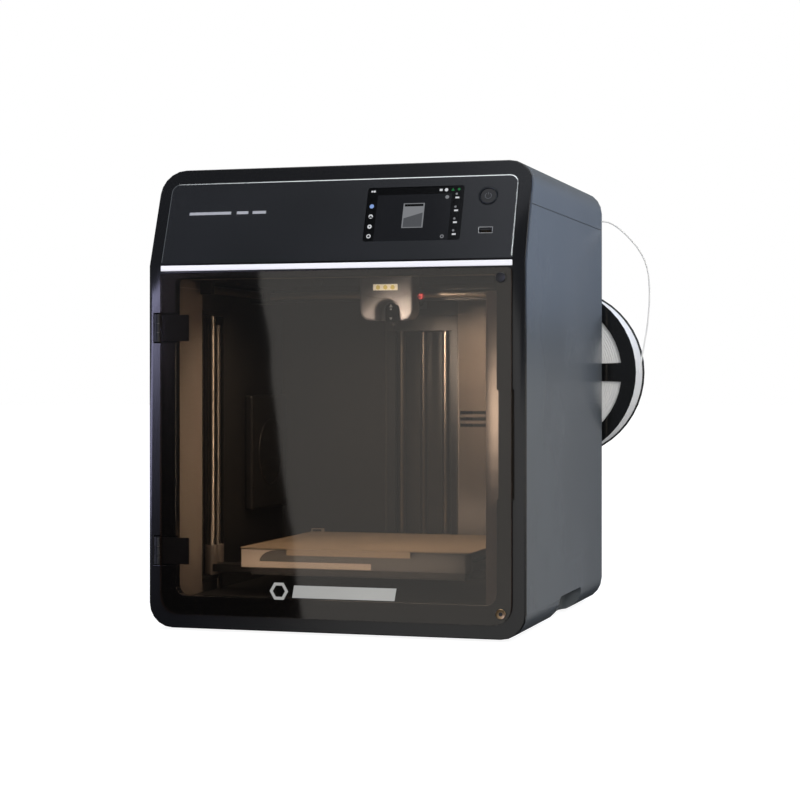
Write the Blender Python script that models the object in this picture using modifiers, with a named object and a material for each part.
"""Enclosed desktop filament printer, built from separate named pieces.

Metres, +Z up. The machine's own frame has X across the front, -Y towards the
user and Z from the floor; a root empty shifts it so that the world origin is
under the middle of the whole object, spool included.
"""
import math

import bmesh
import bpy
from mathutils import Vector

# Casing, metres
WIDTH = 0.380
FRONT_Y = -0.200
REAR_Y = 0.200
BASE_Z = 0.0025
TOP_Z = 0.4555
EDGE_R = 0.024
WALL = 0.003
GAP = 0.0003
SEAM_Z = 0.4125
BEND_Z = 0.3583
SLANT = math.radians(20.4)
BEZEL_SIDE = 0.006
BEZEL_DEPTH = 0.011

# Chamber behind the door
OPEN_X = 0.162
OPEN_LOW, OPEN_HIGH = 0.0343, 0.345
WALL_X = 0.1635
BACK_Y = 0.110
FLOOR_Z = 0.030
LINER_TOP = 0.3455
LINER_T = 0.002

# Door and its hinges
DOOR_X = 0.177
DOOR_LOW, DOOR_HIGH = 0.0162, 0.3508
DOOR_T = 0.003
DOOR_BACK = FRONT_Y - 0.0005
DOOR_FACE = DOOR_BACK - DOOR_T
HINGE_X, HINGE_Y = -0.1797, -0.2022
HINGE_HEIGHTS = (0.078, 0.297)
HINGE_HALF = 0.0135
KNUCKLE_R = 0.0022
PIN_R = 0.0009

# Bed and its three lifting screws
BED_X = 0.1205
BED_FRONT, BED_REAR = -0.136, 0.088
BED_LOW, BED_HIGH = 0.0572, 0.0764
SHEET_T = 0.0008
SCREW_R = 0.004
ROD_R = 0.004
COLLAR_R = 0.0070
BORE_GAP = 0.0004
SIDE_X = 0.166
SIDE_ROD_Y, SIDE_SCREW_Y = -0.097, -0.082
REAR_LIFT_Y = 0.121
REAR_ROD_X = 0.0254
SHELF_Z = 0.0445
SIDE_NICHE_Y = (-0.128, -0.068)
NICHE_HALF = 0.042

# Gantry and head
Y_ROD_X, Y_ROD_Z = 0.152, 0.3375
Y_ROD_SPAN = (-0.138, 0.1062)
ROD_END_X = (0.1465, 0.1575)
BLOCK_X = (0.1440, 0.1615)
X_ROD_Y, X_ROD_Z = 0.020, 0.337
HEAD_X = -0.0045
NOZZLE_Y, NOZZLE_TIP_Z = 0.003, 0.303

# Spool behind the casing
SPOOL_X, SPOOL_Z = 0.125, 0.255
SPOOL_NEAR, SPOOL_FAR = 0.206, 0.266
SPOOL_R = 0.098
FLANGE_T = 0.0026
DRUM_R = 0.040
BORE_R = 0.0268
WOUND_R = 0.096
HOLDER_END = 0.270
STRAND_R = 0.000875

STUD_FACE = DOOR_FACE - 0.0013
CENTRE_X = (SPOOL_X + SPOOL_R - WIDTH / 2) / 2
CENTRE_Y = (STUD_FACE + HOLDER_END) / 2

# colour, roughness, metallic
MATERIALS = {
    "slate_shell": ((0.115, 0.142, 0.175), 0.45, 0.0),
    "black_bezel": ((0.016, 0.017, 0.020), 0.40, 0.0),
    "anthracite": ((0.035, 0.038, 0.043), 0.35, 0.0),
    "diffuser": ((0.88, 0.88, 0.90), 0.35, 0.0),
    "screen_glass": ((0.006, 0.006, 0.008), 0.08, 0.0),
    "smoked_acrylic": ((0.060, 0.050, 0.042), 0.06, 0.0),
    "black_plastic": ((0.012, 0.012, 0.013), 0.45, 0.0),
    "rubber": ((0.015, 0.015, 0.015), 0.85, 0.0),
    "steel": ((0.62, 0.61, 0.60), 0.22, 1.0),
    "dark_steel": ((0.06, 0.06, 0.06), 0.40, 1.0),
    "bronze": ((0.45, 0.33, 0.20), 0.30, 1.0),
    "liner": ((0.110, 0.100, 0.090), 0.50, 0.0),
    "bed_alloy": ((0.42, 0.38, 0.33), 0.45, 1.0),
    "gold_sheet": ((0.45, 0.33, 0.20), 0.60, 0.3),
    "head_grey": ((0.28, 0.27, 0.255), 0.45, 0.0),
    "lamp": ((0.95, 0.90, 0.70), 0.30, 0.0),
    "spool_black": ((0.008, 0.008, 0.009), 0.25, 0.0),
    "filament_white": ((0.80, 0.80, 0.81), 0.40, 0.0),
}

for old in list(bpy.data.objects):
    bpy.data.objects.remove(old, do_unlink=True)

parts = bpy.data.collections.new("fdm_printer")
cutters = bpy.data.collections.new("cutters")
for collection in (parts, cutters):
    bpy.context.scene.collection.children.link(collection)


def empty(name, place, parent=None):
    """An empty that carries a body; place is in the machine's frame."""
    holder = bpy.data.objects.new(name, None)
    holder.empty_display_size = 0.02
    holder.location = place
    holder.parent = parent
    parts.objects.link(holder)
    return holder


machine = empty("machine_frame", (-CENTRE_X, -CENTRE_Y, 0))
door_axis = empty("door_axis", (HINGE_X, HINGE_Y, 0), machine)
bed_lift = empty("bed_lift", (0, 0, 0), machine)
gantry_slide = empty("gantry_slide", (0, 0, 0), machine)
head_slide = empty("head_slide", (HEAD_X, 0, 0), gantry_slide)
spool_axis = empty("spool_axis", (SPOOL_X, 0, SPOOL_Z), machine)


def material(name):
    """The Principled material of one finish, made once."""
    made = bpy.data.materials.get(name)
    if made is None:
        colour, roughness, metallic = MATERIALS[name]
        made = bpy.data.materials.new(name)
        made.use_nodes = True
        shader = made.node_tree.nodes["Principled BSDF"]
        shader.inputs["Base Color"].default_value = (*colour, 1)
        shader.inputs["Roughness"].default_value = roughness
        shader.inputs["Metallic"].default_value = metallic
    return made


def place(name, mesh, finish, centre, turn=(0, 0, 0), parent=machine):
    """Link a mesh as a part, or as a cutter when finish is None."""
    made = bpy.data.objects.new(name, mesh)
    made.rotation_euler = turn
    made.location = Vector(centre)
    made.parent = parent
    holder = parent
    while holder is not machine:
        made.location -= holder.location
        holder = holder.parent
    if finish is None:
        cutters.objects.link(made)
        made.hide_render = True
        made.display_type = "WIRE"
    else:
        mesh.materials.append(material(finish))
        parts.objects.link(made)
    return made


def mesh_from(name, bm):
    mesh = bpy.data.meshes.new(name)
    bm.to_mesh(mesh)
    bm.free()
    return mesh


def soften(part, radius, segments=2):
    """Round a part's sharp edges."""
    bevel = part.modifiers.new("rounding", "BEVEL")
    bevel.width = radius
    bevel.segments = segments
    bevel.limit_method = "ANGLE"
    bevel.angle_limit = math.radians(50)
    return part


def box(name, finish, x, y, z, turn=(0, 0, 0), parent=machine):
    """A box from its (low, high) limits along X, Y and Z."""
    bm = bmesh.new()
    bmesh.ops.create_cube(bm, size=1)
    size = Vector((x[1] - x[0], y[1] - y[0], z[1] - z[0]))
    bmesh.ops.scale(bm, vec=size, verts=bm.verts)
    centre = (sum(x) / 2, sum(y) / 2, sum(z) / 2)
    return place(name, mesh_from(name, bm), finish, centre, turn, parent)


AXIS_TURN = {"X": (0, math.pi / 2, 0), "Y": (-math.pi / 2, 0, 0), "Z": (0, 0, 0)}


def cylinder(name, finish, axis, centre, radius, length, sides=16, parent=machine, turn=None):
    """A closed cylinder centred on a point, along X, Y or Z."""
    bm = bmesh.new()
    bmesh.ops.create_cone(bm, cap_ends=True, segments=sides, radius1=radius, radius2=radius,
                          depth=length)
    return place(name, mesh_from(name, bm), finish, centre, turn or AXIS_TURN[axis], parent)


def turned(name, finish, outline, centre, turn, steps=32, parent=machine):
    """A (radius, height) outline turned about local Z; a ring's outline closes on itself."""
    bm = bmesh.new()
    corners = [bm.verts.new((radius, 0, height)) for radius, height in outline]
    for first, second in zip(corners, corners[1:]):
        bm.edges.new((first, second))
    if outline[0][0] > 0:
        bm.edges.new((corners[-1], corners[0]))
    made = place(name, mesh_from(name, bm), finish, centre, turn, parent)
    screw = made.modifiers.new("turning", "SCREW")
    screw.steps = screw.render_steps = steps
    screw.use_merge_vertices = True
    screw.merge_threshold = 1e-5
    screw.use_normal_flip = True
    return made


def arc(centre, radius, start, end, steps):
    """Points along an arc, angles in degrees."""
    turns = [math.radians(start + (end - start) * i / steps) for i in range(steps + 1)]
    return [(centre[0] + radius * math.cos(t), centre[1] + radius * math.sin(t)) for t in turns]


def rounded_rectangle(x, y, low_r, high_r, steps=4):
    """Outline with its own radius on the lower and on the upper corners."""
    return (arc((x[1] - low_r, y[0] + low_r), low_r, -90, 0, steps)
            + arc((x[1] - high_r, y[1] - high_r), high_r, 0, 90, steps)
            + arc((x[0] + high_r, y[1] - high_r), high_r, 90, 180, steps)
            + arc((x[0] + low_r, y[0] + low_r), low_r, 180, 270, steps))


FACING_FRONT = (math.pi / 2, 0, 0)
FACING_SIDE = (math.pi / 2, 0, math.pi / 2)
FACING_SLANT = (math.pi / 2 - SLANT, 0, 0)


def extruded(name, finish, outlines, thickness, centre, turn, parent=machine):
    """Flat outlines (the first one outside, the others holes) given a thickness."""
    curve = bpy.data.curves.new(name, "CURVE")
    curve.dimensions = "2D"
    curve.fill_mode = "BOTH"
    curve.extrude = thickness / 2
    for outline in outlines:
        spline = curve.splines.new("POLY")
        spline.points.add(len(outline) - 1)
        for point, (x, y) in zip(spline.points, outline):
            point.co = (x, y, 0, 1)
        spline.use_cyclic_u = True
    drawn = bpy.data.objects.new(name + "_outline", curve)
    cutters.objects.link(drawn)
    seen = drawn.evaluated_get(bpy.context.evaluated_depsgraph_get())
    bm = bmesh.new()
    bm.from_mesh(bpy.data.meshes.new_from_object(seen))
    bmesh.ops.remove_doubles(bm, verts=bm.verts, dist=1e-6)
    bmesh.ops.recalc_face_normals(bm, faces=bm.faces)
    bpy.data.objects.remove(drawn, do_unlink=True)
    return place(name, mesh_from(name, bm), finish, centre, turn, parent)


def combine(part, operation, *tools):
    for tool in tools:
        boolean = part.modifiers.new(operation.lower(), "BOOLEAN")
        boolean.operation = operation
        boolean.object = tool
    return part


def cut(part, *tools):
    return combine(part, "DIFFERENCE", *tools)


def add(part, *tools):
    return combine(part, "UNION", *tools)


def keep(part, *tools):
    return combine(part, "INTERSECT", *tools)


def body_form(name, finish, inset):
    """The casing's outer form, or one set in from it, open-ended past the front."""
    bm = bmesh.new()
    bmesh.ops.create_cube(bm, size=1)
    low = Vector((-WIDTH / 2 + inset, FRONT_Y - 0.02, BASE_Z + inset))
    high = Vector((WIDTH / 2 - inset, REAR_Y - inset, TOP_Z - inset))
    bmesh.ops.scale(bm, vec=high - low, verts=bm.verts)
    front = (low.y - high.y) / 2
    edges = [e for e in bm.edges if max(v.co.y for v in e.verts) > front + 1e-4]
    bmesh.ops.bevel(bm, geom=edges, offset=EDGE_R - inset, offset_type="OFFSET", segments=5,
                    profile=0.5, affect="EDGES", clamp_overlap=True, material=-1)
    return place(name, mesh_from(name, bm), finish, (low + high) / 2)


def front_line(depth):
    """The front's side view at a depth behind it: floor, bend, above the top."""
    y = FRONT_Y + depth
    bend = BEND_Z - depth * math.tan(SLANT / 2)
    top = TOP_Z + 0.03
    return [(y, -0.03), (y, bend), (y + (top - bend) * math.tan(SLANT), top)]


def front_zone(name, shallow, deep):
    """Everything between two depths behind the front."""
    outline = front_line(deep) + front_line(shallow)[::-1]
    return extruded(name, None, [outline], WIDTH + 0.1, (0, 0, 0), FACING_SIDE)


def slanted(x, along, out):
    """A point on the leaning upper front: across, up along it, out of it."""
    y = FRONT_Y + along * math.sin(SLANT) - out * math.cos(SLANT)
    return (x, y, BEND_Z + along * math.cos(SLANT) + out * math.sin(SLANT))


def slant_block(name, finish, x, along, depth):
    """A box square to the slant; depth counts inwards from its face."""
    centre = slanted(sum(x) / 2, sum(along) / 2, -sum(depth) / 2)
    size = (x[1] - x[0], along[1] - along[0], depth[1] - depth[0])
    block = box(name, finish, (0, size[0]), (0, size[1]), (0, size[2]), FACING_SLANT)
    block.location = centre
    return block


# Casing: one moulded wrap of sides, back and bottom, and the lid above its seam
WIDE = (-0.3, 0.3)
casing = body_form("casing", "slate_shell", 0)
cut(casing, body_form("casing_inside", None, WALL))
scoop_blocks = []
scoop_cuts = []
for side, label in ((-1, "left"), (1, "right")):
    block = box("grip_block_" + label, None, sorted((side * 0.1640, side * 0.1950)),
                (-0.052, 0.068), (-0.01, FLOOR_Z))
    keep(block, body_form("grip_limit_" + label, None, 0))
    scoop_blocks.append(block)
    scoop = box("grip_scoop_" + label, None, sorted((side * 0.1665, side * 0.2050)),
                (-0.046, 0.062), (-0.02, 0.0275))
    scoop_cuts.append(soften(scoop, 0.007, 3))
add(casing, *scoop_blocks)
cut(casing, *scoop_cuts)
cut(casing, front_zone("casing_front_cut", -0.1, BEZEL_SIDE + GAP))
cut(casing, box("casing_top_cut", None, WIDE, WIDE, (SEAM_Z, 0.6)))
INLET_X, INLET_Z = -0.120, 0.060
INLET_HALF = (0.0140, 0.0125)
SWITCH_X = -0.085
SWITCH_HALF = (0.0068, 0.0100)
BACK_PANEL = (0.18, 0.22)
cut(casing, box("power_inlet_hole", None, (INLET_X - INLET_HALF[0], INLET_X + INLET_HALF[0]),
                BACK_PANEL, (INLET_Z - INLET_HALF[1], INLET_Z + INLET_HALF[1])))
cut(casing, box("switch_hole", None, (SWITCH_X - SWITCH_HALF[0], SWITCH_X + SWITCH_HALF[0]),
                BACK_PANEL, (INLET_Z - SWITCH_HALF[1], INLET_Z + SWITCH_HALF[1])))
VENT_LOW, VENT_PITCH, VENT_H, VENT_ROWS = 0.185, 0.009, 0.004, 5
for row in range(VENT_ROWS):
    height = VENT_LOW + row * VENT_PITCH
    cut(casing, box(f"rear_vent_{row}", None, (-0.115, -0.055), BACK_PANEL,
                    (height, height + VENT_H)))

top_lid = body_form("top_lid", "slate_shell", 0)
cut(top_lid, body_form("lid_inside", None, WALL))
cut(top_lid, front_zone("lid_front_cut", -0.1, BEZEL_SIDE + GAP))
cut(top_lid, box("lid_low_cut", None, WIDE, WIDE, (-0.1, SEAM_Z + GAP)))

FOOT_R = 0.012
for side, x in (("left", -0.145), ("right", 0.145)):
    for end, y in (("front", -0.165), ("rear", 0.160)):
        cylinder(f"foot_{end}_{side}", "rubber", "Z", (x, y, (BASE_Z - GAP) / 2), FOOT_R,
                 BASE_Z - GAP, 20)

# Front bezel: outer skin to the casing's edge, and a door frame stepped in behind it
PANEL_LOW, PANEL_HIGH = 0.0012, 0.0879
PANEL_X = 0.1775
PANEL_T = 0.0015
SCREEN_X, SCREEN_ALONG = (0.0286, 0.1250), (0.0205, 0.0774)
BUTTON_X, BUTTON_ALONG = 0.1490, 0.0657
RING_R, BUTTON_R = 0.0093, 0.0077
USB_X, USB_ALONG = 0.1492, 0.0300
USB_W, USB_H = 0.0142, 0.0066
THROUGH = (-0.02, 0.04)

front_bezel = body_form("front_bezel", "black_bezel", 0)
keep(front_bezel, front_zone("bezel_skin_zone", 0, BEZEL_SIDE))
bezel_core = body_form("bezel_core", None, WALL + GAP)
keep(bezel_core, front_zone("bezel_core_zone", BEZEL_SIDE - 0.001, BEZEL_DEPTH))
add(front_bezel, bezel_core)
opening = rounded_rectangle((-OPEN_X, OPEN_X), (OPEN_LOW, OPEN_HIGH), 0.010, 0.004)
cut(front_bezel, extruded("door_opening", None, [opening], 0.06, (0, FRONT_Y, 0), FACING_FRONT))
SCOOP_LOW, SCOOP_HIGH = 0.134, 0.236
cut(front_bezel, box("finger_scoop", None, (OPEN_X - 0.004, 0.1785),
                     (FRONT_Y - 0.01, FRONT_Y + 0.007), (SCOOP_LOW, SCOOP_HIGH)))
cut(front_bezel, slant_block("screen_well", None, (SCREEN_X[0] - 0.003, SCREEN_X[1] + 0.003),
                             (SCREEN_ALONG[0] - 0.003, SCREEN_ALONG[1] + 0.003), THROUGH))
cut(front_bezel, cylinder("button_well", None, "Z", slanted(BUTTON_X, BUTTON_ALONG, 0), RING_R + GAP,
                          0.06, 24, turn=FACING_SLANT))
cut(front_bezel, slant_block("usb_well", None, (USB_X - USB_W / 2 - GAP, USB_X + USB_W / 2 + GAP),
                             (USB_ALONG - USB_H / 2 - GAP, USB_ALONG + USB_H / 2 + GAP),
                             THROUGH))
for label, height in zip(("lower", "upper"), HINGE_HEIGHTS):
    cut(front_bezel, box("hinge_well_" + label, None, (-0.1850, -0.1475),
                         (FRONT_Y - 0.01, FRONT_Y + 0.005), (height - 0.0142, height + 0.0142)))

# Control panel on the slanted face, with its screen, button and port
panel = rounded_rectangle((-PANEL_X, PANEL_X), (PANEL_LOW, PANEL_HIGH), 0.001, 0.009)
window = rounded_rectangle(SCREEN_X, SCREEN_ALONG, 0.0025, 0.0025, 3)
hole = arc((BUTTON_X, BUTTON_ALONG), RING_R + GAP, 0, 345, 23)
usb_slot = rounded_rectangle((USB_X - USB_W / 2 - GAP, USB_X + USB_W / 2 + GAP),
                             (USB_ALONG - USB_H / 2 - GAP, USB_ALONG + USB_H / 2 + GAP),
                             0.001, 0.001, 2)
extruded("control_panel", "anthracite", [panel, window, hole, usb_slot], PANEL_T,
         slanted(0, 0, GAP + PANEL_T / 2), FACING_SLANT)
PANEL_FACE = GAP + PANEL_T
glass = rounded_rectangle((SCREEN_X[0] + GAP, SCREEN_X[1] - GAP),
                          (SCREEN_ALONG[0] + GAP, SCREEN_ALONG[1] - GAP), 0.0022, 0.0022, 3)
SCREEN_T, SCREEN_SUNK = 0.008, 0.0008
extruded("touch_screen", "screen_glass", [glass], SCREEN_T,
         slanted(0, 0, PANEL_FACE - SCREEN_SUNK - SCREEN_T / 2), FACING_SLANT)
RING_T = 0.005
ring_outline = [(BUTTON_R + GAP, 0), (RING_R, 0), (RING_R, RING_T - 0.0006),
                (RING_R - 0.0006, RING_T), (BUTTON_R + GAP, RING_T)]
turned("button_ring", "dark_steel", ring_outline,
       slanted(BUTTON_X, BUTTON_ALONG, PANEL_FACE + 0.0005 - RING_T), FACING_SLANT, 24)
BUTTON_T = 0.005
cylinder("power_button", "black_plastic", "Z",
         slanted(BUTTON_X, BUTTON_ALONG, PANEL_FACE - BUTTON_T / 2), BUTTON_R,
         BUTTON_T, 24, turn=FACING_SLANT)
USB_DEPTH = 0.014
usb_socket = slant_block("usb_socket", "steel", (USB_X - USB_W / 2, USB_X + USB_W / 2),
                         (USB_ALONG - USB_H / 2, USB_ALONG + USB_H / 2),
                         (-PANEL_FACE, USB_DEPTH - PANEL_FACE))
cut(usb_socket, slant_block("usb_inside", None, (USB_X - 0.0064, USB_X + 0.0064),
                            (USB_ALONG - 0.0027, USB_ALONG + 0.0027), (THROUGH[0], 0.0105)))

STRIP_LOW, STRIP_HIGH = 0.3527, 0.3581
strip = box("light_strip", "diffuser", (-PANEL_X, PANEL_X), (FRONT_Y - 0.0015, FRONT_Y - GAP),
            (STRIP_LOW, STRIP_HIGH))
soften(strip, 0.0006, 2)

# Door: acrylic panel on two leaf hinges at its left edge
door_outline = rounded_rectangle((-DOOR_X, DOOR_X), (DOOR_LOW, DOOR_HIGH), 0.018, 0.003, 5)
extruded("door_panel", "smoked_acrylic", [door_outline], DOOR_T,
         (0, (DOOR_BACK + DOOR_FACE) / 2, 0), FACING_FRONT, door_axis)
STUD_X = 0.1670
STUD_R = 0.0048
stud_outline = [(0, 0), (STUD_R, 0), (STUD_R, 0.0006), (STUD_R - 0.0004, 0.0010), (0, 0.0010)]
for label, height in (("lower", 0.0270), ("upper", 0.3415)):
    turned("door_stud_" + label, "bronze", stud_outline, (STUD_X, DOOR_FACE - GAP, height),
           (math.pi / 2, 0, 0), 20, door_axis)

THIRD = HINGE_HALF / 3
for label, height in zip(("lower", "upper"), HINGE_HEIGHTS):
    base = box("hinge_base_" + label, "black_plastic", (-0.1847, -0.1825),
               (FRONT_Y, FRONT_Y + 0.0044), (height - HINGE_HALF, height + HINGE_HALF))
    for end, low, high in (("low", -HINGE_HALF, -THIRD - 0.0001), ("high", THIRD + 0.0001, HINGE_HALF)):
        span = (height + low, height + high)
        add(base, box(f"base_arm_{label}_{end}", None, (-0.1840, HINGE_X),
                      (HINGE_Y, FRONT_Y + 0.0012), span))
        add(base, cylinder(f"base_knuckle_{label}_{end}", None, "Z",
                           (HINGE_X, HINGE_Y, sum(span) / 2), KNUCKLE_R, high - low, 12))
    bore = cylinder("pin_bore_" + label, None, "Z", (HINGE_X, HINGE_Y, height), PIN_R + GAP,
                    0.04, 12)
    cut(base, bore)
    leaf = box("hinge_leaf_" + label, "black_plastic", (-0.1770, -0.1482),
               (FRONT_Y - 0.0002, FRONT_Y + 0.0016), (height - 0.0130, height + 0.0130),
               parent=door_axis)
    middle = (height - THIRD + 0.0002, height + THIRD - 0.0002)
    add(leaf, box("leaf_bridge_" + label, None, (-0.1780, -0.1765),
                  (FRONT_Y - 0.0002, FRONT_Y + 0.0016), middle, parent=door_axis))
    add(leaf, box("leaf_arm_" + label, None, (HINGE_X, -0.1773), (-0.2012, FRONT_Y + 0.0016),
                  middle, parent=door_axis))
    add(leaf, cylinder("leaf_knuckle_" + label, None, "Z", (HINGE_X, HINGE_Y, height), KNUCKLE_R,
                       middle[1] - middle[0], 12, parent=door_axis))
    cut(leaf, bore)
    cylinder("hinge_pin_" + label, "steel", "Z", (HINGE_X, HINGE_Y, height), PIN_R,
             2 * HINGE_HALF - 0.0004, 12)

# Chamber walls, floor and the ring frame that the gantry runs under
LINER_Y = (FRONT_Y + BEZEL_DEPTH + GAP, BACK_Y - GAP)
SCREW_HOLE_R = SCREW_R + 0.002
FLANGE_X, LIP_T, FLANGE_TOP = (0.1490, 0.1640), 0.0015, 0.330
chamber_floor = box("chamber_floor", "liner", (-WALL_X + GAP, WALL_X - GAP), LINER_Y,
                    (FLOOR_Z - 0.003, FLOOR_Z))
for side, label in ((-1, "left"), (1, "right")):
    wall = box(label + "_liner", "liner", sorted((side * WALL_X, side * (WALL_X + LINER_T))), LINER_Y,
               (FLOOR_Z + GAP, LINER_TOP))
    cut(wall, box("niche_opening_" + label, None, sorted((side * 0.15, side * 0.18)),
                  SIDE_NICHE_Y, (0.040, 0.318)))
    notch = cylinder("screw_notch_" + label, None, "Z", (side * SIDE_X, SIDE_SCREW_Y, 0.03),
                     SCREW_HOLE_R, 0.04)
    cut(wall, notch)
    if side == 1:
        add(wall, box("front_flange", None, FLANGE_X, (LINER_Y[0], LINER_Y[0] + LIP_T),
                      (FLOOR_Z + GAP, FLANGE_TOP)))
    cut(chamber_floor, notch)
    bracket = box("z_bracket_" + label, "black_plastic",
                  sorted((side * (WALL_X - 0.0005), side * 0.1842)),
                  (SIDE_NICHE_Y[0] + GAP, SIDE_NICHE_Y[1] - GAP), (0.0405, 0.3175))
    cut(bracket, box("bracket_hollow_" + label, None, sorted((side * 0.15, side * 0.1822)),
                     (SIDE_NICHE_Y[0] + 0.002, SIDE_NICHE_Y[1] - 0.002), (SHELF_Z, 0.3122)))
    cut(bracket, cylinder("shelf_hole_" + label, None, "Z", (side * SIDE_X, SIDE_SCREW_Y, 0.042),
                          SCREW_R + GAP, 0.02))
    cylinder("z_rod_" + label, "steel", "Z", (side * SIDE_X, SIDE_ROD_Y, (SHELF_Z + 0.3122) / 2),
             ROD_R, 0.3122 - SHELF_Z - 2 * GAP)

rear_liner = box("rear_liner", "liner", (-WALL_X - LINER_T, WALL_X + LINER_T),
                 (BACK_Y, BACK_Y + LINER_T), (FLOOR_Z + GAP, LINER_TOP))
cut(rear_liner, box("rear_niche_opening", None, (-NICHE_HALF, NICHE_HALF), (0.09, 0.13),
                    (0.040, 0.318)))
FAN_X, FAN_Z, FAN_R = 0.078, 0.2035, 0.018
FAN_SIZE = 0.020
fan_frame = box("fan_frame", None, (FAN_X - FAN_SIZE, FAN_X + FAN_SIZE),
                (BACK_Y + LINER_T - 0.0005, 0.1270), (FAN_Z - FAN_SIZE, FAN_Z + FAN_SIZE))
cut(fan_frame, cylinder("fan_bore", None, "Y", (FAN_X, 0.12, FAN_Z), FAN_R + 0.0008, 0.0136, 24))
fan_back = cylinder("fan_back_bore", None, "Y", (FAN_X, 0.13, FAN_Z), FAN_R - 0.002, 0.03, 24)
fan_strut = box("fan_strut", None, (FAN_X - 0.003, FAN_X + 0.003), (0.11, 0.14),
                (FAN_Z - 0.03, FAN_Z + 0.03))
cut(fan_frame, cut(fan_back, fan_strut))
add(rear_liner, fan_frame)
LOUVRE_LOW, LOUVRE_PITCH, LOUVRE_H = 0.1945, 0.007, 0.0037
for row in range(3):
    height = LOUVRE_LOW + row * LOUVRE_PITCH
    cut(rear_liner, box(f"louvre_{row}", None, (0.0445, 0.1115), (0.10, 0.1125),
                        (height, height + LOUVRE_H)))
FAN_Y = 0.1184
exhaust_fan = cylinder("exhaust_fan", "black_plastic", "Y", (FAN_X, FAN_Y, FAN_Z), 0.007, 0.008, 16)
BLADES = 7
BLADE_PITCH = 0.6
for blade in range(BLADES):
    angle = 2 * math.pi * blade / BLADES
    reach = (FAN_R + 0.005) / 2
    vane = box(f"fan_blade_{blade}", None, (-0.0062, 0.0062), (-0.0006, 0.0006), (-0.003, 0.003))
    vane.location = (FAN_X + reach * math.cos(angle), FAN_Y, FAN_Z + reach * math.sin(angle))
    vane.rotation_euler = (BLADE_PITCH, -angle, 0)
    add(exhaust_fan, vane)

z_bracket_rear = box("z_bracket_rear", "black_plastic", (-NICHE_HALF + GAP, NICHE_HALF - GAP),
                     (BACK_Y, 0.147), (0.0405, 0.3175))
cut(z_bracket_rear, box("rear_bracket_hollow", None, (-NICHE_HALF + 0.002, NICHE_HALF - 0.002),
                        (0.09, 0.145), (SHELF_Z, 0.301)))
cut(z_bracket_rear, cylinder("rear_shelf_hole", None, "Z", (0, REAR_LIFT_Y, 0.042), SCREW_R + GAP,
                             0.02))
for side, label in ((-1, "left"), (1, "right")):
    cylinder("z_rod_rear_" + label, "steel", "Z",
             (side * REAR_ROD_X, REAR_LIFT_Y, (SHELF_Z + 0.301) / 2), ROD_R,
             0.301 - SHELF_Z - 2 * GAP)

FRAME_LOW, FRAME_HIGH = 0.3460, 0.3520
FRAME_Y = (-0.1880, 0.1115)
upper_frame = box("upper_frame", "dark_steel", (-0.1660, 0.1660), FRAME_Y, (FRAME_LOW, FRAME_HIGH))
cut(upper_frame, box("frame_window", None, (-0.1450, 0.1450), (-0.174, 0.106), (0.34, 0.36)))
for side, label in ((-1, "left"), (1, "right")):
    for end, low, high in (("front", Y_ROD_SPAN[0] - 0.010, Y_ROD_SPAN[0]),
                           ("rear", Y_ROD_SPAN[1], BACK_Y - GAP)):
        add(upper_frame, box(f"rod_block_{label}_{end}", None,
                             sorted((side * ROD_END_X[0], side * ROD_END_X[1])), (low, high),
                             (Y_ROD_Z - 0.0055, FRAME_LOW + 0.001)))
    cylinder("y_rod_" + label, "steel", "Y", (side * Y_ROD_X, sum(Y_ROD_SPAN) / 2, Y_ROD_Z),
             ROD_R, Y_ROD_SPAN[1] - Y_ROD_SPAN[0] - 2 * GAP)
    motor = box("xy_motor_" + label, "dark_steel", sorted((side * 0.112, side * 0.154)),
                (0.122, 0.164), (0.310, 0.345))
    soften(motor, 0.004, 2)
    add(motor, cylinder("motor_shaft_" + label, None, "Z", (side * 0.133, 0.143, 0.352), 0.0025,
                        0.020, 12))
    add(motor, cylinder("motor_pulley_" + label, None, "Z", (side * 0.133, 0.143, 0.356), 0.0064,
                        0.010, 20))

# Supply and mains entry behind the chamber
box("power_supply", "steel", (-0.145, -0.060), (0.130, 0.172), (0.090, 0.175))
z_motor = box("z_motor", "dark_steel", (0.092, 0.134), (0.125, 0.167), (0.030, 0.064))
soften(z_motor, 0.004, 2)
add(z_motor, cylinder("z_motor_shaft", None, "Z", (0.113, 0.146, 0.025), 0.0025, 0.020, 12))
add(z_motor, cylinder("z_motor_pulley", None, "Z", (0.113, 0.146, 0.0180), 0.0080, 0.009, 20))
power_inlet = box("power_inlet", "black_plastic", (INLET_X - 0.0135, INLET_X + 0.0135),
                  (0.178, REAR_Y + 0.0015), (INLET_Z - 0.0120, INLET_Z + 0.0120))
cut(power_inlet, box("inlet_socket", None, (INLET_X - 0.0118, INLET_X + 0.0118),
                     (0.184, 0.22), (INLET_Z - 0.0080, INLET_Z + 0.0080)))
rocker = box("power_switch", "black_plastic", (SWITCH_X - 0.0062, SWITCH_X + 0.0062),
             (REAR_Y - 0.006, REAR_Y + 0.0015), (INLET_Z - 0.0088, INLET_Z + 0.0088))
soften(rocker, 0.001, 2)

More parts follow.
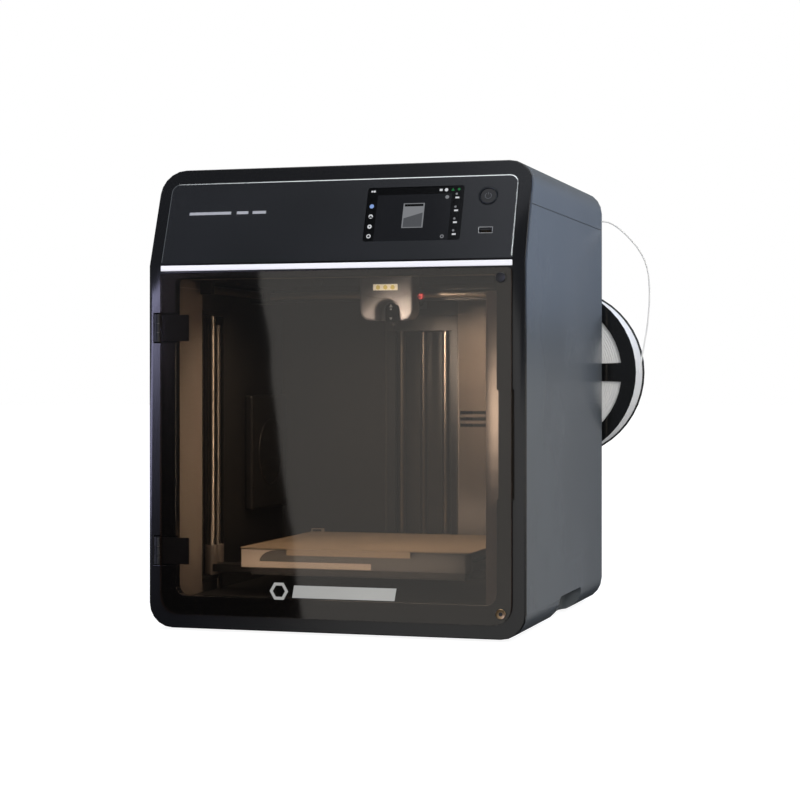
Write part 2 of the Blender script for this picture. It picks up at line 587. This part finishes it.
# Bed: carrier on three screws, heated plate and spring steel sheet
CARRIER_LOW, CARRIER_HIGH = 0.0490, 0.0568
COLLAR_Z = (0.0465, 0.0760)
bed_carrier = box("bed_carrier", "dark_steel", (-0.112, 0.112), (-0.124, 0.080),
                  (CARRIER_LOW, CARRIER_HIGH), parent=bed_lift)
cut(bed_carrier, box("carrier_window_front", None, (-0.094, 0.094), (-0.106, -0.030),
                     (0.04, 0.06), parent=bed_lift))
cut(bed_carrier, box("carrier_window_rear", None, (-0.094, 0.094), (-0.012, 0.062),
                     (0.04, 0.06), parent=bed_lift))
guides = [("rear_screw", 0, REAR_LIFT_Y, SCREW_R), ("rear_rod_left", -REAR_ROD_X, REAR_LIFT_Y, ROD_R),
          ("rear_rod_right", REAR_ROD_X, REAR_LIFT_Y, ROD_R)]
add(bed_carrier, box("carrier_arm_rear", None, (-0.028, 0.028), (0.070, REAR_LIFT_Y),
                     (CARRIER_LOW, CARRIER_HIGH), parent=bed_lift))
for side, label in ((-1, "left"), (1, "right")):
    add(bed_carrier, box("carrier_arm_" + label, None, sorted((side * 0.105, side * SIDE_X)),
                         (SIDE_ROD_Y - 0.006, SIDE_SCREW_Y + 0.006),
                         (CARRIER_LOW, CARRIER_HIGH), parent=bed_lift))
    guides.append(("rod_" + label, side * SIDE_X, SIDE_ROD_Y, ROD_R))
    guides.append(("screw_" + label, side * SIDE_X, SIDE_SCREW_Y, SCREW_R))
middle_z = sum(COLLAR_Z) / 2
for label, x, y, radius in guides:
    add(bed_carrier, cylinder("collar_" + label, None, "Z", (x, y, middle_z), COLLAR_R,
                              COLLAR_Z[1] - COLLAR_Z[0], parent=bed_lift))
for label, x, y, radius in guides:
    cut(bed_carrier, cylinder("bore_" + label, None, "Z", (x, y, middle_z), radius + BORE_GAP, 0.06,
                              parent=bed_lift))

bed_outline = rounded_rectangle((-BED_X, BED_X), (BED_FRONT, BED_REAR), 0.006, 0.006, 3)
heated_bed = extruded("heated_bed", "bed_alloy", [bed_outline], BED_HIGH - BED_LOW,
                      (0, 0, (BED_LOW + BED_HIGH) / 2), (0, 0, 0), bed_lift)
PLATE_T, APRON_T = 0.006, 0.008
cut(heated_bed, box("bed_underside", None, (-0.2, 0.2), (BED_FRONT + APRON_T, 0.2),
                    (0, BED_HIGH - PLATE_T), parent=bed_lift))
POST_X, POST_Y, POST_R = (-0.103, 0.103), (-0.100, 0.060), 0.005
POST_Z = (BED_LOW, BED_HIGH - PLATE_T / 2)
for x in POST_X:
    for y in POST_Y:
        add(heated_bed, cylinder("bed_post", None, "Z", (x, y, sum(POST_Z) / 2), POST_R,
                                 POST_Z[1] - POST_Z[0], parent=bed_lift))
SHEET_LOW = BED_HIGH + GAP
sheet_outline = rounded_rectangle((-BED_X, BED_X), (BED_FRONT, BED_REAR), 0.004, 0.004, 3)
build_sheet = extruded("build_sheet", "gold_sheet", [sheet_outline], SHEET_T,
                       (0, 0, SHEET_LOW + SHEET_T / 2), (0, 0, 0), bed_lift)
TAB_X = (-0.067, 0.061)
add(build_sheet, box("sheet_tab", None, TAB_X, (BED_FRONT - 0.0060, BED_FRONT + 0.001),
                     (SHEET_LOW, SHEET_LOW + SHEET_T), parent=bed_lift))
add(build_sheet, box("sheet_lip", None, TAB_X, (BED_FRONT - 0.0070, BED_FRONT - 0.0055),
                     (SHEET_LOW - 0.0055, SHEET_LOW + SHEET_T), parent=bed_lift))

for label, x, y, top in (("left", -SIDE_X, SIDE_SCREW_Y, 0.303), ("right", SIDE_X, SIDE_SCREW_Y, 0.303),
                         ("rear", 0, REAR_LIFT_Y, 0.299)):
    outline = [(0, 0), (0.0078, 0), (0.0078, 0.008), (SCREW_R, 0.008), (SCREW_R, top - 0.011),
               (SCREW_R - 0.001, top - 0.010), (0, top - 0.010)]
    turned("leadscrew_" + label, "steel", outline, (x, y, 0.010), (0, 0, 0), 16)

# Gantry: a beam on the two side rods, and the head on its cross rod
beam = box("gantry_beam", "dark_steel", (-0.145, 0.145), (0.0300, 0.0410), (0.331, 0.344),
           parent=gantry_slide)
for side, label in ((-1, "left"), (1, "right")):
    add(beam, box("gantry_block_" + label, None, sorted((side * BLOCK_X[0], side * BLOCK_X[1])),
                  (0.0040, 0.0430), (0.3285, 0.3454), parent=gantry_slide))
    cut(beam, cylinder("gantry_bore_" + label, None, "Y", (side * Y_ROD_X, 0.03, Y_ROD_Z),
                       ROD_R + BORE_GAP, 0.08, parent=gantry_slide))
cylinder("x_rod", "steel", "X", (0, X_ROD_Y, X_ROD_Z), ROD_R, 2 * (BLOCK_X[0] - GAP),
         parent=gantry_slide)

HEAD_FRONT = -0.012
head_face = rounded_rectangle((-0.0280, 0.0300), (0.3090, 0.3720), 0.011, 0.006, 4)
print_head = extruded("print_head", "head_grey", [head_face], 0.0260,
                      (HEAD_X, HEAD_FRONT + 0.013, 0), FACING_FRONT, head_slide)
arch = [(-0.0110, 0.290), (0.0160, 0.290)] + arc((0.0025, 0.3165), 0.0135, 0, 180, 8)
cut(print_head, extruded("head_arch", None, [arch], 0.0240, (HEAD_X, HEAD_FRONT + 0.0105, 0),
                         FACING_FRONT, head_slide))
LAMP_X, LAMP_Z = (-0.0177, 0.0089), (0.3404, 0.3468)
LAMP_T = 0.0020
cut(print_head, box("lamp_pocket", None, (LAMP_X[0] - GAP, LAMP_X[1] + GAP),
                    (HEAD_FRONT - 0.01, HEAD_FRONT + LAMP_T + GAP),
                    (LAMP_Z[0] - GAP, LAMP_Z[1] + GAP), parent=head_slide))
box("head_lamp", "lamp", LAMP_X, (HEAD_FRONT + 0.0002, HEAD_FRONT + 0.0002 + LAMP_T), LAMP_Z,
    parent=head_slide)
carriage = box("head_carriage", "black_plastic", (-0.0280, 0.0200), (0.0143, 0.0297),
               (0.3240, 0.3660), parent=head_slide)
add(carriage, box("extruder_block", None, (-0.0280, 0.0200), (0.0143, 0.0445), (0.3475, 0.3900),
                  parent=head_slide))
cut(carriage, cylinder("carriage_bore", None, "X", (HEAD_X, X_ROD_Y, X_ROD_Z), ROD_R + BORE_GAP,
                       0.08, parent=head_slide))
nozzle_outline = [(0, 0), (0.0009, 0), (0.0036, 0.0040), (0.0065, 0.0044), (0.0065, 0.0220),
                  (0, 0.0220)]
turned("nozzle", "black_plastic", nozzle_outline, (0, NOZZLE_Y, NOZZLE_TIP_Z), (0, 0, 0), 16, head_slide)

# Spool on its holder behind the casing, and the strand that feeds the machine
ALONG_Y = (-math.pi / 2, 0, 0)
near, far = SPOOL_NEAR, SPOOL_FAR
holder_outline = [(0, REAR_Y + GAP), (0.036, REAR_Y + GAP), (0.036, REAR_Y + 0.0045),
                  (0.0258, REAR_Y + 0.0045), (0.0258, far + 0.0008), (0.0300, far + 0.0008),
                  (0.0300, HOLDER_END), (0, HOLDER_END)]
turned("spool_holder", "black_plastic", holder_outline, (SPOOL_X, 0, SPOOL_Z), ALONG_Y, 24)
spool_outline = [(BORE_R, near), (SPOOL_R, near), (SPOOL_R, near + FLANGE_T),
                 (DRUM_R, near + FLANGE_T), (DRUM_R, far - FLANGE_T), (SPOOL_R, far - FLANGE_T),
                 (SPOOL_R, far), (BORE_R, far)]
spool = turned("spool", "spool_black", spool_outline, (SPOOL_X, 0, SPOOL_Z), ALONG_Y, 48, spool_axis)
WINDOWS = 4
SPOKE_ANGLE = 7.5
for index in range(WINDOWS):
    start = index * 360 / WINDOWS + SPOKE_ANGLE
    end = (index + 1) * 360 / WINDOWS - SPOKE_ANGLE
    sector = arc((0, 0), 0.082, start, end, 9) + arc((0, 0), 0.048, end - 4, start + 4, 5)
    cut(spool, extruded(f"spool_window_{index}", None, [sector], 0.2, (SPOOL_X, 0.2, SPOOL_Z),
                        FACING_FRONT, spool_axis))
wound_outline = [(DRUM_R + GAP, near + FLANGE_T + GAP), (WOUND_R, near + FLANGE_T + GAP),
                 (WOUND_R, far - FLANGE_T - GAP), (DRUM_R + GAP, far - FLANGE_T - GAP)]
turned("filament_winding", "filament_white", wound_outline, (SPOOL_X, 0, SPOOL_Z), ALONG_Y, 48,
       spool_axis)

FEED_X, FEED_Z = 0.148, 0.402
feed_outline = [(0.0014, 0), (0.0070, 0), (0.0070, 0.003), (0.0045, 0.005), (0.0045, 0.0125),
                (0.0014, 0.0125)]
turned("filament_inlet", "black_plastic", feed_outline, (FEED_X, REAR_Y + GAP, FEED_Z), ALONG_Y, 16)

MID_Y = (near + far) / 2
STRAND_ROUTE = [(FEED_X, REAR_Y + 0.0135, FEED_Z), (0.1520, 0.2230, 0.4095), (0.1640, 0.2310, 0.4215),
                (0.1805, MID_Y, 0.4275), (0.1975, MID_Y, 0.4200), (0.2185, MID_Y, 0.3985),
                (0.2298, MID_Y, 0.3770), (0.2335, MID_Y, 0.3500), (0.2318, MID_Y, 0.3145),
                (0.2260, MID_Y, 0.2790), (0.2222, MID_Y, 0.2550)]


def smooth_curve(route, steps):
    """Points of a Catmull-Rom curve through the route's own points."""
    knots = [Vector(point) for point in route]
    knots = [2 * knots[0] - knots[1]] + knots + [2 * knots[-1] - knots[-2]]
    points = []
    for a, b, c, d in zip(knots, knots[1:], knots[2:], knots[3:]):
        for step in range(steps):
            t = step / steps
            points.append(0.5 * (2 * b + (c - a) * t + (2 * a - 5 * b + 4 * c - d) * t ** 2
                                 + (3 * b - a - 3 * c + d) * t ** 3))
    return points + [knots[-2]]


STRAND_STEPS = 6
strand_curve = bpy.data.curves.new("filament_strand", "CURVE")
strand_curve.dimensions = "3D"
strand_curve.bevel_depth = STRAND_R
strand_curve.bevel_resolution = 2
strand_curve.use_fill_caps = True
strand_points = smooth_curve(STRAND_ROUTE, STRAND_STEPS)
spline = strand_curve.splines.new("POLY")
spline.points.add(len(strand_points) - 1)
for point, where in zip(spline.points, strand_points):
    point.co = (*where, 1)
strand_curve.materials.append(material("filament_white"))
strand = bpy.data.objects.new("filament_strand", strand_curve)
strand.parent = machine
parts.objects.link(strand)
